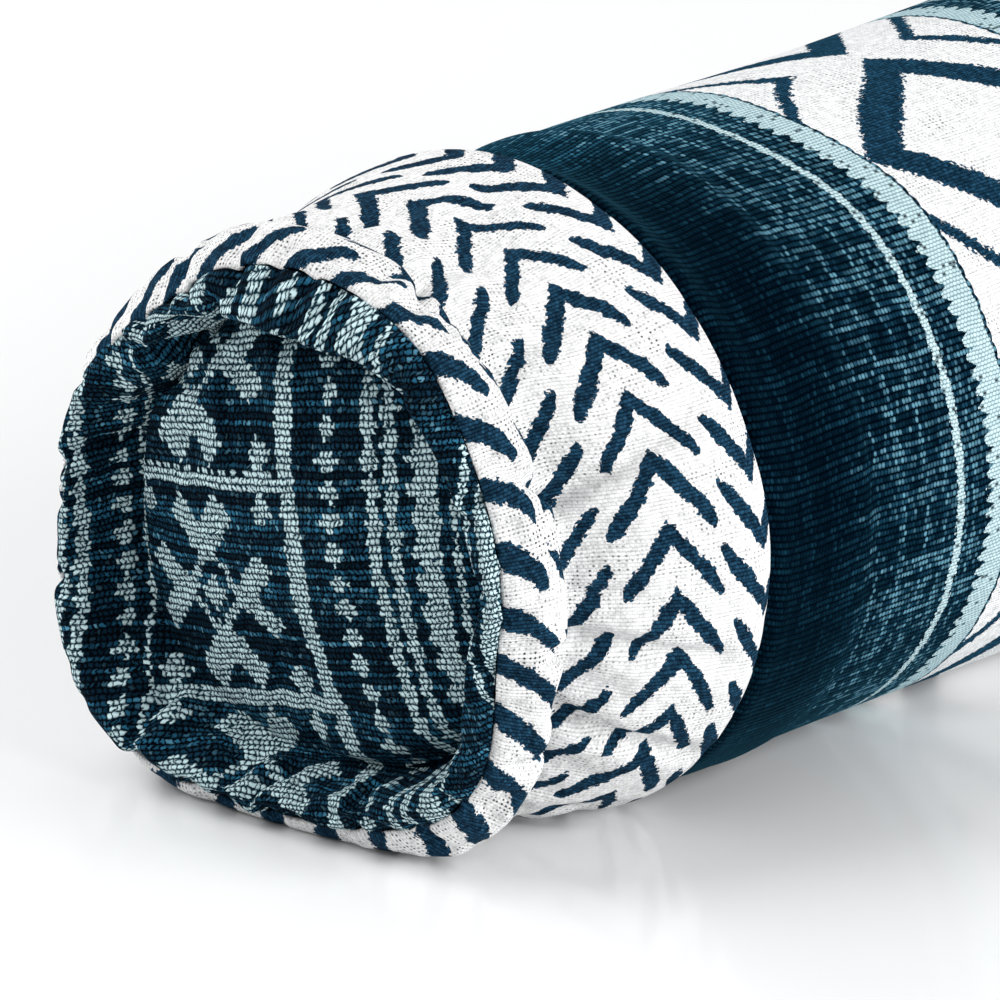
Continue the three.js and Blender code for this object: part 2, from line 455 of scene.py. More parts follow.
SWELL_PLACES, SWELL_MOVE = swelling()

# How many columns the swelling's grid goes on past its first and last ones
WRAP = 3


def swell_at(places, angle):
    """The near half's swelling at any places and angles, smooth between the cloth's points."""
    wide = np.concatenate([SWELL_MOVE[:, -WRAP:], SWELL_MOVE, SWELL_MOVE[:, :WRAP]], axis=1)
    rows = between(wide, np.interp(places, SWELL_PLACES, np.arange(SWELL_RINGS)))
    columns = angle / FULL_TURN * SWELL_AROUND + WRAP
    return between(rows.swapaxes(0, 1), columns).swapaxes(0, 1)


def surface(places, around):
    """The cover's outside on a grid of places by angles.

    It is the smooth shape through the rows, moved by the swelling and in by the creases.
    The far half is the near half turned half round.
    """
    angle = np.arange(around) * FULL_TURN / around
    turned = (FULL_TURN + HALF_TURN - angle) % FULL_TURN
    points = through(frame_rows(angle), places)
    far = places > MIDDLE
    move = np.empty_like(points)
    depth = np.empty(points.shape[:2])
    for part, part_angle in ((~far, angle), (far, turned)):
        near_places = np.minimum(places[part], 2 * MIDDLE - places[part])
        move[part] = swell_at(near_places, part_angle)
        depth[part] = crease_depth(np.interp(near_places, HALF_PLACES, HALF_LENGTHS), part_angle)
    move[far] = half_turned(move[far])
    points = points + move - outward(points) * depth[:, :, None]
    points[:, :, 2] = settled(points[:, :, 2])
    return points


# Meshes. The inner side of a sheet stays FLOOR_GAP above the floor.
FLOOR_GAP = 0.05


def add_piece(name, points, faces, uv, material):
    """A smooth mesh from points in millimetres and groups of faces with flat cloth positions."""
    mesh = bpy.data.meshes.new(name)
    face_list = [face for group in faces for face in group.tolist()]
    mesh.from_pydata((points * MM).tolist(), [], face_list)
    layer = mesh.uv_layers.new(name="cloth")
    layer.data.foreach_set("uv", np.concatenate([group.reshape(-1) for group in uv]) * MM)
    mesh.polygons.foreach_set("use_smooth", [True] * len(mesh.polygons))
    mesh.materials.append(material)
    mesh.update()
    return placed(name, mesh)


def drawn_in(outer, depth):
    """A grid inside another one, depth further in, and no lower than just above the floor."""
    inner = outer - outward(outer) * depth
    inner[:, :, 2] = np.maximum(inner[:, :, 2], FLOOR_GAP)
    return inner


def strip(ring, other_ring, uv):
    """Quads between two rings, whose corners take the first ring's flat cloth positions."""
    quads = np.stack([ring, np.roll(ring, -1), np.roll(other_ring, -1), other_ring], axis=1)
    corners = np.stack([uv[:-1], uv[1:], uv[1:], uv[:-1]], axis=1)
    return quads, corners


def fan(pole, ring, pole_uv, uv):
    """Triangles from a pole to a ring of points."""
    poles = np.full(len(ring), pole)
    corners = np.stack([np.broadcast_to(pole_uv, uv[1:].shape), uv[:-1], uv[1:]], axis=1)
    return np.stack([poles, ring, np.roll(ring, -1)], axis=1), corners


def quad_corners(flat):
    """The flat positions of a grid, one column more than its points, at its quads' corners."""
    corners = [flat[:-1, :-1], flat[1:, :-1], flat[1:, 1:], flat[:-1, 1:]]
    return np.stack(corners, axis=2).reshape(-1, 4, 2)


def add_sheet(name, outer, flat, material, turned, pole=None):
    """A closed sheet of cloth from its outer grid. A pole closes a round one's middle."""
    rings, around = outer.shape[:2]
    count = rings * around
    points = [outer.reshape(-1, 3), drawn_in(outer, CLOTH).reshape(-1, 3)]
    quads = grid_faces(rings, around)
    corners = quad_corners(flat)
    ring = np.arange(around)
    last = ring + count - around
    groups = [
        (quads, corners),
        (quads[:, ::-1] + count, corners[:, ::-1]),
        strip(last + count, last, flat[-1]),
    ]
    if pole is None:
        groups.append(strip(ring, ring + count, flat[0]))
    else:
        middle = flat[0].mean(axis=0)
        points += [pole, pole + np.array([[CLOTH, 0, 0]])]
        inner_faces, inner_corners = fan(2 * count + 1, ring + count, middle, flat[0])
        groups.append(fan(2 * count, ring, middle, flat[0]))
        groups.append((inner_faces[:, ::-1], inner_corners[:, ::-1]))
    points = np.concatenate(points)
    if turned:
        points = half_turned(points)
    faces, uv = zip(*groups)
    return add_piece(name, points, faces, uv, material)


def set_inputs(node, **values):
    """Each input of a node takes its value. Its name is written with _ for a space."""
    for name, value in values.items():
        node.inputs[name.replace("_", " ")].default_value = value


class Number:
    """A number that a material's nodes work out. Arithmetic on it adds nodes.

    under and over are 1 where the number is less or more than the other one, and 0
    elsewhere. least and most are the lesser and the greater of the two, size drops the
    sign, and wrapped is the rest after whole periods, never negative.
    """

    def __init__(self, tree, socket):
        self.tree = tree
        self.socket = socket

    def maths(self, operation, *others):
        """A new number from a node that does the operation on this one and the others."""
        node = self.tree.nodes.new("ShaderNodeMath")
        node.operation = operation
        for slot, value in zip(node.inputs, (self, *others)):
            connect(self.tree, value, slot)
        return Number(self.tree, node.outputs[0])

    __add__ = partialmethod(maths, "ADD")
    __sub__ = partialmethod(maths, "SUBTRACT")
    __mul__ = partialmethod(maths, "MULTIPLY")
    __truediv__ = partialmethod(maths, "DIVIDE")
    __radd__ = __add__
    __rmul__ = __mul__
    under = partialmethod(maths, "LESS_THAN")
    over = partialmethod(maths, "GREATER_THAN")
    least = partialmethod(maths, "MINIMUM")
    most = partialmethod(maths, "MAXIMUM")
    floor = partialmethod(maths, "FLOOR")
    size = partialmethod(maths, "ABSOLUTE")
    power = partialmethod(maths, "POWER")
    wrapped = partialmethod(maths, "FLOORED_MODULO")

    def __rsub__(self, other):
        """A constant less this number, as this number times -1 and the constant added."""
        return self * -1 + other

    def squared(self):
        """The number times itself."""
        return self * self

    def root(self):
        """The square root, and 0 for a number below 0."""
        return self.most(0).maths("SQRT")

    def scaled(self, gain, least):
        """The number times a gain, and a least value added."""
        return self * gain + least

    def near(self, period):
        """The signed distance from the nearest multiple of the period."""
        return (self + period / 2).wrapped(period) - period / 2

    def eased(self, low, high):
        """0 up to low, 1 from high on, and a smooth step between them."""
        node = self.tree.nodes.new("ShaderNodeMapRange")
        node.interpolation_type = "SMOOTHSTEP"
        set_inputs(node, From_Min=low, From_Max=high)
        connect(self.tree, self, node.inputs["Value"])
        return Number(self.tree, node.outputs["Result"])

    def hump(self, rise, fall):
        """0, then 1 between the rise and the fall, and 0 again."""
        return self.eased(*rise) * (1 - self.eased(*fall))


def connect(tree, value, slot):
    """A node's input takes a number that other nodes work out, or a constant."""
    if isinstance(value, Number):
        tree.links.new(value.socket, slot)
    else:
        slot.default_value = value


def either(first, *others):
    """1 where any of the masks is 1."""
    for other in others:
        first = first.most(other)
    return first


def pick(mask, inside, outside):
    """inside where the mask is 1, and outside where it is 0."""
    return mask * (inside - outside) + outside


def vector(tree, x, y, z):
    """Three numbers or constants as one vector."""
    node = tree.nodes.new("ShaderNodeCombineXYZ")
    for slot, value in zip(node.inputs, (x, y, z)):
        connect(tree, value, slot)
    return node.outputs[0]


# How much each finer layer of the smooth noise adds
DRIFT_ROUGHNESS = 0.6

# The second number of a chance that goes by one number alone, and a grain's least luck
ALONE = 0.5
LEAST_LUCK = 0.1


def chance(x, y, seed):
    """A number from 0 to 1 that is the same for equal x and y, and random otherwise."""
    node = x.tree.nodes.new("ShaderNodeTexWhiteNoise")
    node.noise_dimensions = "3D"
    x.tree.links.new(vector(x.tree, x, y, seed), node.inputs["Vector"])
    return Number(x.tree, node.outputs["Value"])


def drift(x, y, size, seed, detail=1.0):
    """Smooth noise from -1 to 1 whose patches are about size millimetres wide."""
    node = x.tree.nodes.new("ShaderNodeTexNoise")
    node.noise_dimensions = "3D"
    set_inputs(node, Scale=1 / size, Detail=detail, Roughness=DRIFT_ROUGHNESS)
    x.tree.links.new(vector(x.tree, x, y, seed * size), node.inputs["Vector"])
    return (Number(x.tree, node.outputs["Fac"]) - 0.5) * 2


def cloth_position(tree):
    """The flat position on the cloth, u and v in millimetres."""
    node = tree.nodes.new("ShaderNodeUVMap")
    node.uv_map = "cloth"
    split = tree.nodes.new("ShaderNodeSeparateXYZ")
    tree.links.new(node.outputs["UV"], split.inputs[0])
    return Number(tree, split.outputs[0]) / MM, Number(tree, split.outputs[1]) / MM


class Grains:
    """Where yarns come to the top of a weave: rounded grains side by side in rows.

    The grains of a row lie pitch_u apart and the rows pitch_v apart. Every other row starts
    a shift further on, and each row besides by its luck times loose. The rows' grains lean
    in turn to either side. A grain's height falls off from its middle to 0 on a squarish
    oval of wide by tall shares of the pitches.
    """

    def __init__(self, u, v, pitch_u, pitch_v, seed, wide=0.5, tall=0.5, shift=0.5, loose=0, lean=0):
        row = v / pitch_v
        self.row = row.floor()
        other = self.row.wrapped(2)
        y = row - self.row - 0.5
        start = other * shift
        if loose:
            start = start + chance(self.row, ALONE, seed + 0.5) * loose
        column = u / pitch_u + start
        if lean:
            column = column + (other - 0.5) * y * (2 * lean)
        self.column = column.floor()
        x = column - self.column - 0.5
        self.u = (self.column + 0.5 - start) * pitch_u
        self.v = (self.row + 0.5) * pitch_v
        off = (x / wide).squared().squared() + (y / tall).squared()
        self.height = (1 - off).root()
        self.chance = chance(self.column, self.row, seed)


def any_luck(grains):
    """A grain's luck, from LEAST_LUCK to 1."""
    return grains.chance.scaled(1 - LEAST_LUCK, LEAST_LUCK)


def linear(code):
    """A linear colour from a web colour, by the usual curve of such colours."""
    parts = [int(code[k:k + 2], 16) / 255 for k in (1, 3, 5)]
    return (*[p / 12.92 if p <= 0.04045 else ((p + 0.055) / 1.055) ** 2.4 for p in parts], 1.0)


def blended(tree, factor, first, second):
    """A colour that goes from the first to the second as the factor goes from 0 to 1."""
    node = tree.nodes.new("ShaderNodeMix")
    node.data_type = "RGBA"
    connect(tree, factor, node.inputs["Factor"])
    colours = [slot for slot in node.inputs if slot.type == "RGBA"]
    for slot, value in zip(colours, (first, second)):
        if isinstance(value, str):
            slot.default_value = linear(value)
        else:
            tree.links.new(value, slot)
    return next(socket for socket in node.outputs if socket.type == "RGBA")


# Yarn colours, and the tint of the sheen on the navy cloth. The shade colours and the darkest navy
# are also painted shade in the gaps between yarns.
WHITE_YARN = "#ffffff"
WHITE_SHADE = "#bababa"
PINHOLE = "#2a2d30"
NAVY_YARN = "#27526f"
NAVY_SHADE = "#03101d"
RIB = "#2e6c88"
TEAL = "#9accd9"
TEAL_YARN = "#347a9c"
DEEP_NAVY = "#04192c"
# The colour of dark yarns, and painted shade in the gaps between navy grains
GROUND_AND_GAP_SHADE = "#00040b"
AQUA = "#cde5ea"
AQUA_SHADE = "#3d626c"
END_AQUA = "#cfebf0"
END_SHADE = "#0d2c3a"
SHEEN = "#62b4d6"
SHEEN_ROUGHNESS = 0.35
CLOTH_GLOSS = 0.05


def cloth_material(name, paint, relief, gloss=CLOTH_GLOSS, sheen=0):
    """A rough woven cloth. paint gives its colour and the height of its yarns, from 0 to 1."""
    material = bpy.data.materials.new(name)
    material.use_nodes = True
    tree = material.node_tree
    shader = tree.nodes["Principled BSDF"]
    tint, height = paint(tree)
    tree.links.new(tint, shader.inputs["Base Color"])
    bump = tree.nodes.new("ShaderNodeBump")
    set_inputs(bump, Distance=relief * MM)
    tree.links.new(height.socket, bump.inputs["Height"])
    tree.links.new(bump.outputs["Normal"], shader.inputs["Normal"])
    set_inputs(shader, Roughness=1, Specular_IOR_Level=gloss, Sheen_Weight=sheen)
    set_inputs(shader, Sheen_Roughness=SHEEN_ROUGHNESS, Sheen_Tint=linear(SHEEN))
    return material


# The white cloth and its navy strokes. Small holes show where the cloth is strained.
YARN_PITCH = 1.4
STROKE_YARN = 1.15
YARN_WIDE = 0.55
HOLE_EDGE = (0.1, 0.52)
HOLE_ASIDE = 0.5
LUCK_PART = 0.2
STRAIN_PATCH = 18
LEAST_STRAIN = 0.2
SLUB = 2.4
NAVY_SLUB = 1.1
FRAY = 1.6
FRAY_REACH = 1.5
LUMP = 3.5
YARN_MIDDLE = 0.7
BUMPY = 0.5
UNEVEN = 1.2
STRAIN_CONTRAST = 1.5

# What a yarn's height, its luck and the slubs add to its tone. The height's share is painted shade
# in the gaps between yarns.
WHITE_TONE = dict(height=0.4, chance=0.3, slubs=0.45)
NAVY_TONE = dict(height=0.5, chance=0.4, slubs=0.4)


def yarn_tone(yarns, slubs, shares):
    """How light yarns are: the sum of their height, luck and slubs, each times its share. The
    height's part is painted shade in the gaps.
    """
    own = yarns.height * shares["height"] + yarns.chance * shares["chance"]
    return own + slubs * shares["slubs"]


def white_cloth(tree, yarns, u, v, loosened=0):
    """Off-white plain cloth with small holes between its yarns, most in strained patches."""
    hole_u = (u / YARN_PITCH + 0.5).floor()
    hole_v = (v / YARN_PITCH + 0.5).floor()
    luck = chance(hole_u, hole_v, seed=17)
    aside = (luck.wrapped(LUCK_PART) * (1 / LUCK_PART) - 0.5) * HOLE_ASIDE
    off_u = u - hole_u * YARN_PITCH + aside
    off_v = v - hole_v * YARN_PITCH
    off = (off_u.squared() + off_v.squared()).root()
    strain = drift(u, v, STRAIN_PATCH, seed=31) * STRAIN_CONTRAST + 0.5 + loosened
    pierced = (1 - off.eased(*HOLE_EDGE)) * luck * strain.most(LEAST_STRAIN)
    tone = yarn_tone(yarns, drift(u, v, SLUB, seed=32) + 0.5, WHITE_TONE)
    base = blended(tree, tone.least(1), WHITE_SHADE, WHITE_YARN)
    return blended(tree, pierced.least(1), base, PINHOLE)


def navy_yarns(tree, yarns, u, v):
    """Navy yarns on the white cloth, some lighter and some darker."""
    tone = yarn_tone(yarns, drift(u, v, NAVY_SLUB, seed=51, detail=2), NAVY_TONE)
    return blended(tree, tone.most(0).least(1).squared(), NAVY_SHADE, NAVY_YARN)


def on_yarns(margin, yarns):
    """1 inside a shape, given how far inside its edge a point is. The edge follows yarns."""
    proud = (yarns.height - YARN_MIDDLE) * BUMPY
    return (proud + (yarns.chance - 0.5) * UNEVEN + margin).over(0)


def frayed(margin, u, v, seed):
    """A margin that fine noise moves in and out, by FRAY_REACH at most."""
    return margin + drift(u, v, FRAY, seed=seed) * FRAY_REACH


# The chevrons. u runs from the middle panel's seam to the end seam. Each stroke is a line
# of straight stretches, with v from its row's peak, and half its height. By luck it lies
# up to half of STROKE_ASIDE aside and starts or ends half of STROKE_SHORT away.
CHEVRON_ROWS = 30
CHEVRON_PEAK = 17.5
STROKE_ASIDE = 2.2
STROKE_SHORT = 3
STROKE_TIP = 2.5
STROKE_THINNER = 0.3
STROKES = [
    dict(line=[(-3, -15), (9.5, -28), (22.5, -8.5)], half=4.6),
    dict(line=[(24, -19.5), (37, 0.5), (52, -20.5)], half=4.3),
    dict(line=[(53.5, -11), (66, -29), (82, -43)], half=3.9),
    dict(line=[(74, -13), (84.5, 4)], half=2.9),
    dict(line=[(86.5, -4), (94, 5), (110, 14)], half=4.6),
]


def broken_line(u, points):
    """The height at u of a line of straight stretches through the points."""
    (start_u, height), *rest = points
    slope = 0.0
    line = height
    for end_u, end_height in rest:
        new_slope = (end_height - height) / (end_u - start_u)
        line = (u - start_u).most(0) * (new_slope - slope) + line
        slope, start_u, height = new_slope, end_u, end_height
    return line


def chevron_margin(u, v):
    """How far inside a stroke a point is. Each repeats round the cloth, none quite alike."""
    step = ROUND / CHEVRON_ROWS
    margins = []
    for number, stroke in enumerate(STROKES):
        across = v - CHEVRON_PEAK - broken_line(u, stroke["line"])
        row = (across / step + 0.5).floor()
        luck = chance(row, number, seed=3) - 0.5
        other_luck = chance(row, number, seed=5) - 0.5
        off = across - row * step + luck * STROKE_ASIDE
        start = luck * STROKE_SHORT + stroke["line"][0][0]
        end = other_luck * STROKE_SHORT + stroke["line"][-1][0]
        inside = (u - start).least(end - u)
        half = (inside / STROKE_TIP).most(0).least(1).root() * (other_luck + stroke["half"])
        margins.append(half - off.size() - inside.under(0) * ROUND)
    return either(*margins)


# The yarns wander by noise of WANDER_SIZE. Away from LEAN_MIDDLE the strokes lean towards
# the middle panel's seam. The cloth is strained towards the waist.
WANDER_SIZE = 14
BAND_WANDER = 0.8
BAND_LUMP = 1.5
BAND_LEAN = 6
LEAN_MIDDLE = 100
LEAN_BESIDE = (80, 150)
STRAINED_TOWARDS = (45, 75)
WAIST_STRAIN = 0.5


def paint_band(tree):
    """The bands' cloth: white, with navy strokes whose edges follow its yarns."""
    u, v = cloth_position(tree)
    u = u + drift(u, v, WANDER_SIZE, seed=1) * BAND_WANDER
    v = v + drift(u, v, WANDER_SIZE, seed=2) * BAND_WANDER
    yarns = Grains(u, v, STROKE_YARN, STROKE_YARN, seed=3, wide=YARN_WIDE)
    beside = (v.near(ROUND) - LEAN_MIDDLE).near(ROUND).size()
    lump = drift(u, v, LUMP, seed=4) * BAND_LUMP
    margin = chevron_margin(u + beside.eased(*LEAN_BESIDE) * BAND_LEAN, v + lump)
    mask = on_yarns(frayed(margin, u, v, seed=6) - STROKE_THINNER, yarns)
    white = white_cloth(tree, yarns, u, v, u.eased(*STRAINED_TOWARDS) * WAIST_STRAIN)
    return blended(tree, mask, white, navy_yarns(tree, yarns, u, v)), yarns.height


# The middle panel. u runs from its near seam. The far half is the near half turned half
# round. On top the light stripe, the border and the field's edge lean towards the seam.
HALF_LENGTH = 153.0
LEAN = 11.0
LEAN_ROUND = [(85, 150), (230, 300)]
LEAN_END = (105, 150)
STRIPE_AT = 84.0
STRIPE_HALF = 1.5
BORDER_START = 95.5
BORDER_END = 107.3
TOOTH = 5.1
TOOTH_DEPTH = 3.6
LOBE_PART = 0.2
FIELD_START = 108.8
DIAMONDS = 6
DIAMOND_MIDDLE = 110.0
DIAMOND_HALF_WIDTH = 45.5
DIAMOND_HALF_HEIGHT = 48.0
DIAMOND_LINE = 0.335
SMALL_REACH = 23.5
SMALL_HALF_HEIGHT = 28.0
SMALL_LINE = 0.25
DIAMOND_SLOPE = 0.7
SMALL_SLOPE = 0.75
MIDDLE_WANDER = 0.7
MIDDLE_LUMP = 0.8
LUMP_PART = 0.3
BORDER_YARN = dict(pitch_u=1.5, pitch_v=1.25, wide=0.52)
SPECKS = 0.05
BORDER_TONE = dict(height=0.8, chance=0.2)

# The navy cloth. Some ribs and columns of dashes are lighter, more so towards the stripe,
# and on top of the tube the ribs and bright dashes get a painted highlight.
RIBS = dict(pitch_u=1.35, pitch_v=2.1, tall=0.44)
RIB_STRETCH = 22
STRETCH_SHIFT = 9
COLUMN_POWER = 4
FLECK_PATCH = 10
FLECKS_TOWARDS = (26, 64)
FLECKS = dict(ribs=0.95, columns=0.85, all=0.12)
FLECKS_GAIN = (1.05, 0.15)
FLECK_PATCHES = (0.9, 0.4)
BRIGHT = dict(from_level=0.22, gain=0.85, most=0.42)
# The top span and these shares paint a highlight on the top of the tube
BRIGHT_TOP = (0.3, 0.7)
TOP = [(120, 180), (240, 300)]
PAINTED_TOP_HIGHLIGHT = 0.62
PAINTED_TOP_HIGHLIGHT_LEAST = 0.4
DEEP_LEAST = 0.15
RIBBED = 0.95


def diamond_margin(u, v):
    """How far inside a line a point is: diamonds, and thin half diamonds between them.

    On a diamond the shares of its half width and its half height add up to 1. The slopes
    turn a share of the half width into a length square to the line.
    """
    step = ROUND / DIAMONDS
    off = (v - DIAMOND_MIDDLE).near(step).size()
    reach = (HALF_LENGTH - u) / DIAMOND_HALF_WIDTH + off / DIAMOND_HALF_HEIGHT
    thick = DIAMOND_LINE / 2 - (reach - (1 - DIAMOND_LINE / 2)).size()
    small_reach = (u - FIELD_START) / SMALL_REACH + (step / 2 - off) / SMALL_HALF_HEIGHT
    thin = SMALL_LINE / 2 - (small_reach - (1 - SMALL_LINE / 2)).size()
    return either(thick * DIAMOND_HALF_WIDTH * DIAMOND_SLOPE, thin * SMALL_REACH * SMALL_SLOPE)


def flecked_navy(tree, u, v):
    """Dark navy cloth in ribs of short dashes, lighter in some ribs and columns, with a painted
    highlight on top.
    """
    yarns = Grains(u, v, seed=21, **RIBS)
    # Painted shade: the grains are painted darker towards their edges and the gaps
    core = yarns.height.squared()
    columns = chance(yarns.column, ALONE, seed=22).power(COLUMN_POWER)
    stretch = (u / RIB_STRETCH + chance(yarns.row, ALONE, seed=23) * STRETCH_SHIFT).floor()
    ribs = chance(yarns.row, stretch, seed=24)
    patches = drift(u, v, FLECK_PATCH, seed=25).scaled(0.5, 0.5)
    towards = u.eased(*FLECKS_TOWARDS).scaled(*FLECKS_GAIN)
    # Painted highlight: on top of the tube the ribs and bright dashes are painted lighter
    top = v.hump(*TOP)
    level = ribs.squared() * FLECKS["ribs"] + columns * FLECKS["columns"] + FLECKS["all"]
    level = level * towards * patches.scaled(*FLECK_PATCHES)
    # Towards the gaps between grains the navy goes to painted shade
    base = blended(tree, yarns.height * (level + DEEP_LEAST).least(1), GROUND_AND_GAP_SHADE, DEEP_NAVY)
    # The ribs' tone takes the painted highlight on top
    ribbed = level * RIBBED + top * PAINTED_TOP_HIGHLIGHT * (ribs + PAINTED_TOP_HIGHLIGHT_LEAST)
    tone = (any_luck(yarns) * ribbed).least(1) * core
    bright = (yarns.chance * level - BRIGHT["from_level"]).most(0) * BRIGHT["gain"]
    # Bright dashes are painted stronger on top, part of the painted highlight
    bright = bright.least(BRIGHT["most"]) * top.scaled(*BRIGHT_TOP)
    return blended(tree, (bright * core).least(1), blended(tree, tone, base, RIB), TEAL), yarns


def middle_position(tree):
    """The place on the near half that a place of the panel stands for, wandered and leaned."""
    whole_u, whole_v = cloth_position(tree)
    far = whole_u.over(HALF_LENGTH)
    u = HALF_LENGTH - (whole_u - HALF_LENGTH).size()
    v = (whole_v + far * (ROUND / 2)).wrapped(ROUND)
    u = u + drift(whole_u, whole_v, WANDER_SIZE, seed=11) * MIDDLE_WANDER
    v = v + drift(whole_u, whole_v, WANDER_SIZE, seed=12) * MIDDLE_WANDER
    return u + v.hump(*LEAN_ROUND) * (1 - u.eased(*LEAN_END)) * LEAN, v


def light_border(tree, u, v):
    """The pale cloth of the stripe and the border, with a few dark yarns."""
    yarns = Grains(u, v, seed=15, **BORDER_YARN)
    # The height's share paints shade in the gaps between the pale grains
    tone = yarns.height * BORDER_TONE["height"] + yarns.chance * BORDER_TONE["chance"]
    pale = blended(tree, tone.least(1), AQUA_SHADE, AQUA)
    speck = yarns.chance.under(SPECKS) * yarns.height.squared()
    return blended(tree, speck, pale, GROUND_AND_GAP_SHADE)


def paint_middle(tree):
    """The middle panel's cloth: navy with a stripe and a toothed border, and the field."""
    u, v = middle_position(tree)
    yarns = Grains(u, v, STROKE_YARN, STROKE_YARN, seed=13, wide=YARN_WIDE)
    lump = drift(u, v, LUMP, seed=14) * MIDDLE_LUMP
    margin = diamond_margin(u + lump, v)
    pattern = on_yarns(frayed(margin, u, v, seed=16), yarns)
    white = white_cloth(tree, yarns, u, v)
    field = blended(tree, pattern, white, navy_yarns(tree, yarns, u, v))
    navy, dark_yarns = flecked_navy(tree, u, v)
    lobe = (v.near(TOOTH) / (TOOTH / 2)).squared() * TOOTH_DEPTH
    small_lump = lump * LUMP_PART
    inside_border = (u - lobe - BORDER_START).least((BORDER_END - u) * 2) + small_lump
    inside_stripe = (small_lump + STRIPE_HALF) - (u - STRIPE_AT + small_lump).size()
    light = on_yarns(either(inside_border, inside_stripe), yarns)
    banded = blended(tree, light, navy, light_border(tree, u, v))
    in_field = (u + lobe * LOBE_PART).over(FIELD_START)
    height = pick(in_field, yarns.height, dark_yarns.height)
    return blended(tree, in_field, banded, field), height


# The end panel's cloth. p runs across its columns, which bend, and q along them, from the
# middle of the panel.
PANEL_HALF = 120.0
COLUMN_TURN = 10.5
ROW_TURN = 13.5
COLUMN_BEND = 4.0
BEND_REACH = 68.0
END_WANDER_SIZE = 16
END_WANDER = 1.3
SQUIGGLE = 1.7
SQUIGGLE_PART = 0.35
GRAIN_PITCH = dict(pitch_u=1.6, pitch_v=2.05)
GRAIN_FORM = dict(wide=0.42, tall=0.46, shift=0.4, loose=0.6, lean=0.28)
GRAIN_LUCK_P = 0.9
GRAIN_LUCK_Q = 0.6
END_PATCH = 12
BRIGHT_PATCHES = (2.0, 0.1)
DEEP_ROWS = (0.9, 0.2)
DARK_LEAST = 0.06
PALE = dict(from_luck=0.8, gain=2)
# How a light grain's tone falls to painted shade towards its edge
LIGHT_FORM = dict(core=0.6, height=0.4)
LIGHT_LUCK = (0.5, 0.8)

# The motifs: stars in cells of STAR_COLUMNS by STAR_ROWS, between bars and stripes, and
# beside them dots and four stripes, three of which wave once each BEAT.
MOTIF_ROUND = 220
STAR_P = -34.2
STAR_Q = -16.0
STAR_COLUMNS = 82.0
STAR_ROWS = 73.5
STAR_HEART = 6.6
STAR_RING = 13.8
RING_HALF = 2.0
BLOB_HALF = (5.2, 6.0)
BAR_HALF = 2.9
STRIPE_HALF_P = 3.5
BEAT = 9.3
DOT_AT = 57.4
DOT_HALF = 4.2
WAVED_STRIPES = [
    dict(at=71.5, half=2.9, wave=-1.4),
    dict(at=78.5, half=1.4, wave=1.4),
    dict(at=91, half=5.6, wave=-2.0, shift=1.6),
    dict(at=100, half=1.3),
]
ARM_FOOT = 8.5
ARM_SPREAD = 0.95
ARM_TIP_SIDE = 8.6
ARM_TIP = 33.0
SIDE_ARM_TIP = 30.5
BLOB_AT = 28.5
GATHER = (33, 41)
GATHERED = 15.0


def lozenge(p, q, half_p, half_q):
    """1 inside a lozenge, whose half width and half height are given."""
    return (p.size() / half_p + q.size() / half_q).under(1)


def star_arm(near, far, tip):
    """An arm that widens from its foot, and ends in two tips side by side."""
    widened = near.under((far - ARM_FOOT) * ARM_SPREAD)
    return widened * (near - ARM_TIP_SIDE).size().under((tip - far) * ARM_SPREAD)


def star_mask(p, q):
    """A star: a heart lozenge, a thin lozenge outline round it, and four arms."""
    far = p.size() + q.size()
    heart = far.under(STAR_HEART)
    ring = (far - STAR_RING).size().under(RING_HALF)
    arms = star_arm(p.size(), q.size(), ARM_TIP)
    side_arms = star_arm(q.size(), p.size(), SIDE_ARM_TIP)
    return either(heart, ring, either(arms, side_arms))


def waved_stripe(from_star, beat, at, half, wave=0, shift=0):
    """A stripe whose half width grows by wave, and whose middle shifts back, with the beat."""
    if wave:
        half = beat * wave + half
    if shift:
        at = at - (1 - beat) * shift
    return (from_star - at).size().under(half)


def end_mask(p, q):
    """Stars in cells of stripes and bars, and beside them dots and ragged stripes."""
    aside = (p - STAR_P).near(MOTIF_ROUND)
    from_star = aside.size()
    from_star = from_star + aside.under(0) * from_star.eased(*GATHER) * GATHERED
    along = (q - STAR_Q).near(STAR_ROWS)
    cell = from_star.under(STAR_COLUMNS / 2)
    star = star_mask(from_star, along)
    bar = (along.size() - STAR_ROWS / 2).size().under(BAR_HALF)
    blob = lozenge(from_star - BLOB_AT, along.size() - BLOB_AT, *BLOB_HALF)
    in_cell = either(star, bar, blob) * cell
    stripe = (from_star - STAR_COLUMNS / 2).size().under(STRIPE_HALF_P)
    beat = q.near(BEAT).size() / (BEAT / 2)
    dots = lozenge(from_star - DOT_AT, q.near(BEAT), DOT_HALF, DOT_HALF)
    waved = [waved_stripe(from_star, beat, **kind) for kind in WAVED_STRIPES]
    return either(in_cell, stripe, dots, *waved)


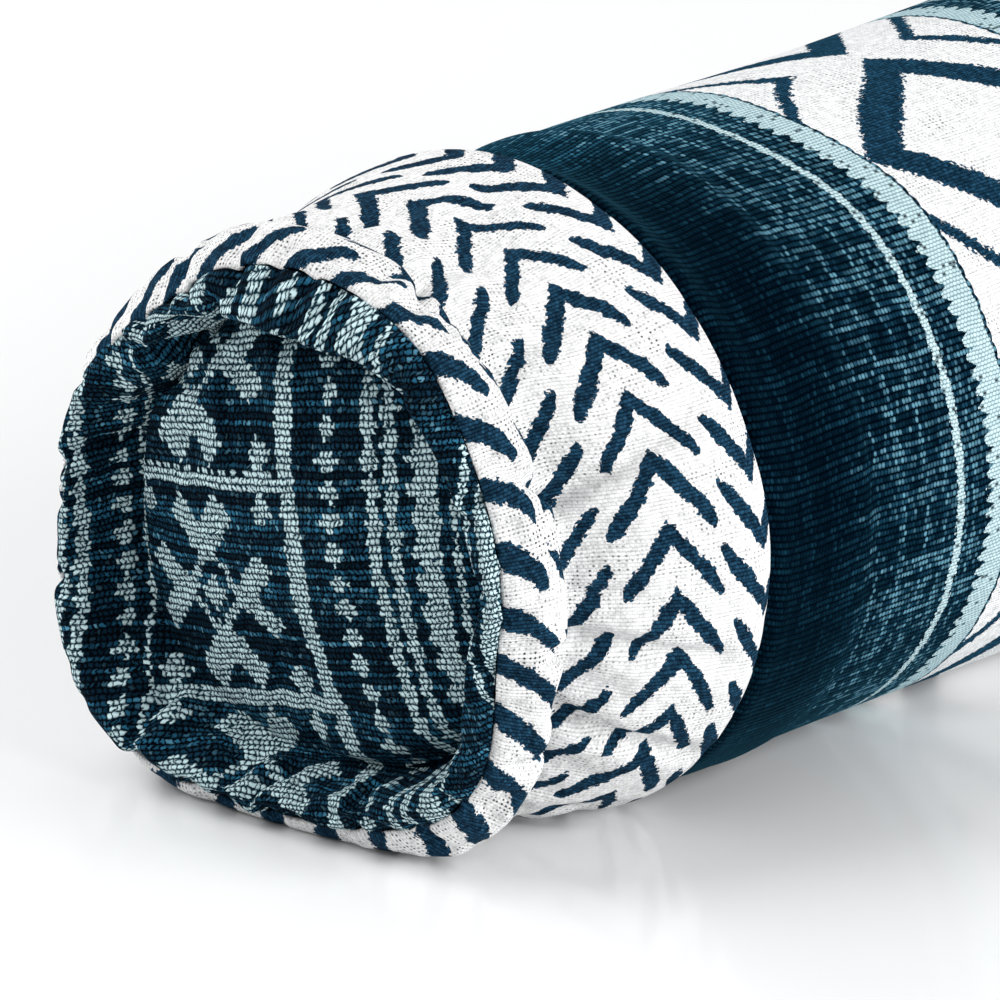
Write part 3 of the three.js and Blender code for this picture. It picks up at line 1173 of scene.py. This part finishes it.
def paint_end(tree):
    """The end panels' cloth: navy grains in rows, and light ones where the motifs are."""
    u, v = cloth_position(tree)
    across = u - PANEL_HALF + drift(u, v, END_WANDER_SIZE, seed=41, detail=4) * END_WANDER
    up = v - PANEL_HALF + drift(u, v, END_WANDER_SIZE, seed=42, detail=4) * END_WANDER
    bend = (1 - (up / BEND_REACH).squared()).most(-1) * COLUMN_BEND
    column_turn = math.radians(COLUMN_TURN)
    row_turn = math.radians(ROW_TURN)
    squiggle = drift(u, v, SQUIGGLE, seed=46, detail=2) * SQUIGGLE
    p = across * math.cos(column_turn) + up * math.sin(column_turn) + bend + squiggle
    q = up * math.cos(row_turn) - across * math.sin(row_turn) - squiggle * SQUIGGLE_PART
    grains = Grains(p, q, seed=43, **GRAIN_PITCH, **GRAIN_FORM)
    luck = grains.chance - 0.5
    light = end_mask(grains.u + luck * GRAIN_LUCK_P, grains.v + luck * GRAIN_LUCK_Q)
    rows = chance(grains.row, ALONE, seed=44)
    patches = drift(across, up, END_PATCH, seed=45).scaled(0.5, 0.5)
    # Painted shade: the grains' colours go dark towards their edges and the gaps between them
    core = grains.height.squared()
    bright = rows.squared() * patches.scaled(*BRIGHT_PATCHES) * any_luck(grains)
    dark = blended(tree, core * rows.scaled(*DEEP_ROWS), GROUND_AND_GAP_SHADE, DEEP_NAVY)
    dark = blended(tree, (core * (bright + DARK_LEAST)).least(1), dark, TEAL_YARN)
    pale = (grains.chance - PALE["from_luck"]).most(0) * rows * PALE["gain"]
    dark = blended(tree, core * pale, dark, TEAL)
    form = core * LIGHT_FORM["core"] + grains.height * LIGHT_FORM["height"]
    full = (form * grains.chance.scaled(*LIGHT_LUCK)).least(1)
    aqua = blended(tree, full, END_SHADE, END_AQUA)
    return blended(tree, light, dark, aqua), grains.height


# How far the yarns stand out, in millimetres
YARN_RELIEF = 0.18
GRAIN_RELIEF = 0.5

MIDDLE_CLOTH = cloth_material("middle_cloth", paint_middle, YARN_RELIEF, gloss=0, sheen=0.12)
BAND_CLOTH = cloth_material("band_cloth", paint_band, YARN_RELIEF)
END_CLOTH = cloth_material("end_cloth", paint_end, GRAIN_RELIEF)

# The pieces' grids have RINGS rows of AROUND points. POLE is the place of a panel's first
# ring, and CORE_DEPTH how far the filled body lies below the cover's outside.
BAND_RINGS = 100
PANEL_RINGS = 90
SHEET_AROUND = 480
BODY_RINGS = 168
BODY_HIDDEN_RINGS = 36
BODY_AROUND = 400
POLE = 0.03
CORE_DEPTH = 3.5


def flat_turns(around):
    """How far round the tube each column lies, with the first one again at the end."""
    return np.arange(around + 1) * ROUND / around


def add_band(name, turned):
    """A band from the end seam to the middle panel's seam. Its u runs from that seam."""
    places, lengths = even_places(place_of("end seam"), place_of("band edge"), BAND_RINGS)
    u, v = np.meshgrid(lengths[-1] - lengths, flat_turns(SHEET_AROUND), indexing="ij")
    outer = surface(places, SHEET_AROUND)
    return add_sheet(name, outer, np.stack([u, v], axis=-1), BAND_CLOTH, turned)


def add_end_panel(name, turned):
    """A round panel. Laid flat, each point is its length from the middle, at its angle."""
    places, lengths = even_places(POLE, place_of("panel edge"), PANEL_RINGS)
    outer = surface(places, SHEET_AROUND)
    pole = through(frame_rows(np.zeros(1)), np.zeros(1))[0]
    turn = np.radians(np.arange(SHEET_AROUND + 1) * FULL_TURN / SHEET_AROUND)
    reach = (lengths + np.linalg.norm(outer[0] - pole, axis=1).mean())[:, None]
    flat = np.stack([reach * np.cos(turn), reach * np.sin(turn)], axis=-1) + PANEL_HALF
    return add_sheet(name, outer, flat, END_CLOTH, turned, pole=pole)


def add_body():
    """The filled body: its skin in the middle, and drawn in under the bands and end panels."""
    start = place_of("middle edge")
    end = 2 * MIDDLE - start
    places, lengths = even_places(start, end, BODY_RINGS)
    hidden, _ = even_places(POLE, start, BODY_HIDDEN_RINGS)
    near = drawn_in(surface(hidden, BODY_AROUND), CORE_DEPTH)
    far = drawn_in(surface(2 * MIDDLE - hidden[::-1], BODY_AROUND), CORE_DEPTH)
    grid = np.concatenate([near, surface(places, BODY_AROUND), far])
    u = lengths * (2 * HALF_LENGTH / lengths[-1])
    u = np.pad(u, BODY_HIDDEN_RINGS, mode="edge")
    flat = np.stack(np.meshgrid(u, flat_turns(BODY_AROUND), indexing="ij"), axis=-1)
    ring = np.arange(BODY_AROUND)
    count = grid.shape[0] * BODY_AROUND
    near_faces, near_uv = fan(count, ring, flat[0, 0], flat[0])
    far_faces, far_uv = fan(count + 1, ring + count - BODY_AROUND, flat[-1, 0], flat[-1])
    poles = [grid[0].mean(axis=0, keepdims=True), grid[-1].mean(axis=0, keepdims=True)]
    points = np.concatenate([grid.reshape(-1, 3), *poles])
    faces = [grid_faces(grid.shape[0], BODY_AROUND), near_faces, far_faces[:, ::-1]]
    uv = [quad_corners(flat), near_uv, far_uv[:, ::-1]]
    return add_piece("cushion_middle", points, faces, uv, MIDDLE_CLOTH)


body = add_body()
near_band = add_band("chevron_band_near", False)
far_band = add_band("chevron_band_far", True)
near_end = add_end_panel("end_panel_near", False)
far_end = add_end_panel("end_panel_far", True)

for piece, node, slot in (
    (body, "filled_body", "middle_cloth"),
    (near_band, "near_band", "band_cloth"),
    (far_band, "far_band", "band_cloth"),
    (near_end, "near_end_panel", "end_cloth"),
    (far_end, "far_end_panel", "end_cloth"),
):
    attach(piece, "root")
    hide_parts(node)

# The studio, in metres, degrees and watts
LOOK_AT = (-0.1552, 0.0, 0.0898)
CAMERA_AZIMUTH = -45.0
CAMERA_ELEVATION = 20.5
CAMERA_DISTANCE = 4.775
LENS = 571.0
SENSOR = 36
LENS_SHIFT = (-0.0142, -0.0177)
CAMERA_REACH = 100
FLOOR_HALF = 30.0
FLOOR_LOOK = dict(Base_Color=(0.905, 0.91, 0.915, 1), Roughness=0.16, Specular_IOR_Level=0.16)
SKY = 0.455
LIGHT_TARGET = (-0.1, 0, 0.08)
LIGHTS = [
    dict(name="key", place=(-1.5, 1.0, 1.9), size=1.7, power=31),
    dict(name="fill", place=(0.3, -2.2, 0.9), size=2.0, power=58),
    dict(name="back", place=(-0.3, 2.0, 1.3), size=1.6, power=22, target=(-0.2, 0.4, 0)),
]


def add_camera():
    """The camera, back from LOOK_AT by its distance at its azimuth and elevation."""
    azimuth = math.radians(CAMERA_AZIMUTH)
    elevation = math.radians(CAMERA_ELEVATION)
    flat = math.cos(elevation)
    back = (math.sin(azimuth) * flat, -math.cos(azimuth) * flat, math.sin(elevation))
    data = bpy.data.cameras.new("camera")
    data.lens = LENS
    data.sensor_width = SENSOR
    data.shift_x, data.shift_y = LENS_SHIFT
    data.clip_end = CAMERA_REACH
    camera = placed("camera", data)
    camera.location = [at + CAMERA_DISTANCE * way for at, way in zip(LOOK_AT, back)]
    camera.rotation_euler = (math.radians(90) - elevation, 0, azimuth)
    bpy.context.scene.camera = camera


def add_floor():
    """A wide pale floor, a little glossy."""
    mesh = bpy.data.meshes.new("floor")
    half = FLOOR_HALF
    corners = [(-half, -half, 0), (half, -half, 0), (half, half, 0), (-half, half, 0)]
    mesh.from_pydata(corners, [], [(0, 1, 2, 3)])
    material = bpy.data.materials.new("pale_floor")
    material.use_nodes = True
    shader = material.node_tree.nodes["Principled BSDF"]
    set_inputs(shader, **FLOOR_LOOK)
    mesh.materials.append(material)
    floor = placed("floor", mesh)


def add_light(name, place, size, power, target=LIGHT_TARGET):
    """A round light at a place, turned to face its target."""
    data = bpy.data.lights.new(name, "AREA")
    data.shape = "DISK"
    data.size = size
    data.energy = power
    light = placed(name, data)
    light.location = place
    away = np.array(target) - np.array(place)
    tilt = math.acos(-away[2] / np.linalg.norm(away))
    light.rotation_euler = (tilt, 0, math.atan2(away[1], away[0]) - math.pi / 2)


def add_world(strength):
    """An even white sky."""
    world = bpy.data.worlds.new("studio")
    world.use_nodes = True
    sky = world.node_tree.nodes["Background"]
    set_inputs(sky, Color=(1, 1, 1, 1), Strength=strength)
    bpy.context.scene.world = world


add_camera()
add_floor()
add_world(SKY)
for light in LIGHTS:
    add_light(**light)
bpy.context.scene.view_settings.view_transform = "Standard"
